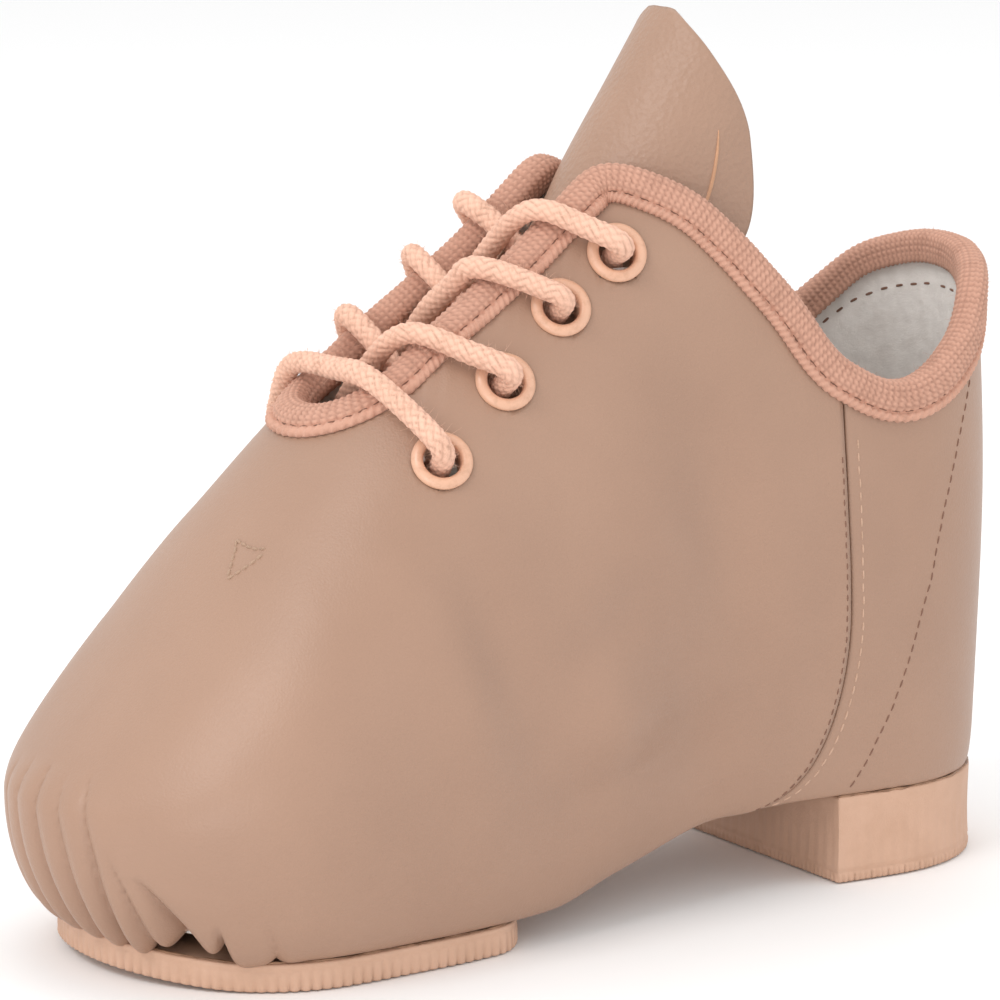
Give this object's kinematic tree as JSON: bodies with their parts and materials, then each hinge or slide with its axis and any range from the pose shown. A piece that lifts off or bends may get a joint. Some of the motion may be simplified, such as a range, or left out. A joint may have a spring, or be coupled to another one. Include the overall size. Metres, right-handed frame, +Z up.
{
  "type": "lace-up split-sole dance shoe",
  "caption": "Soft leather lace-up split-sole dance shoe for the left foot, with a pleated toe, a knitted edge binding, a rubber forefoot patch and a low rubber heel.",
  "frame": {"origin": "on the ground, under the centre of the heel's round back, on the heel block's flat bottom", "axes": "+X forward to the toe, +Y to the outer (little toe) side of a left foot, +Z up"},
  "size_m": [0.1728, 0.0725, 0.1405],
  "materials": {
    "tan_leather": "soft matt grain leather, tan",
    "fleece_lining": "brushed off-white lining cloth",
    "stiffener_board": "fibre board, matt",
    "knitted_binding": "knitted cotton tape, tan",
    "painted_eyelet": "smooth tan enamel",
    "sole_rubber": "peach crepe rubber, matt",
    "lace_cotton": "round braided cotton, tan",
    "tag_plastic": "heat-shrunk film, tan"
  },
  "bodies": {
    "shoe": {"vamp": "tan_leather", "quarter_outer": "tan_leather", "quarter_inner": "tan_leather", "vamp_lining": "fleece_lining", "quarter_lining": "fleece_lining", "heel_counter": "stiffener_board", "topline_binding": "knitted_binding", "eyelet_outer_1": "painted_eyelet", "eyelet_outer_2": "painted_eyelet", "eyelet_outer_3": "painted_eyelet", "eyelet_outer_4": "painted_eyelet", "eyelet_inner_1": "painted_eyelet", "eyelet_inner_2": "painted_eyelet", "eyelet_inner_3": "painted_eyelet", "eyelet_inner_4": "painted_eyelet", "outsole_forefoot": "sole_rubber", "heel_block": "sole_rubber", "insole_board_forefoot": "stiffener_board", "insole_board_heel": "stiffener_board", "arch_sleeve": "tan_leather", "sock_liner": "fleece_lining", "lace": "lace_cotton", "lace_tag_inner": "tag_plastic", "lace_tag_outer": "tag_plastic"},
    "tongue": {"tongue": "tan_leather", "tongue_lining": "fleece_lining"}
  },
  "joints": [
    {"name": "tongue_tilt", "type": "hinge", "parent": "shoe", "child": "tongue", "pos_m": [0.101, 0, 0.064], "axis": [0, -1, 0], "range_deg": [0, 15]}
  ]
}
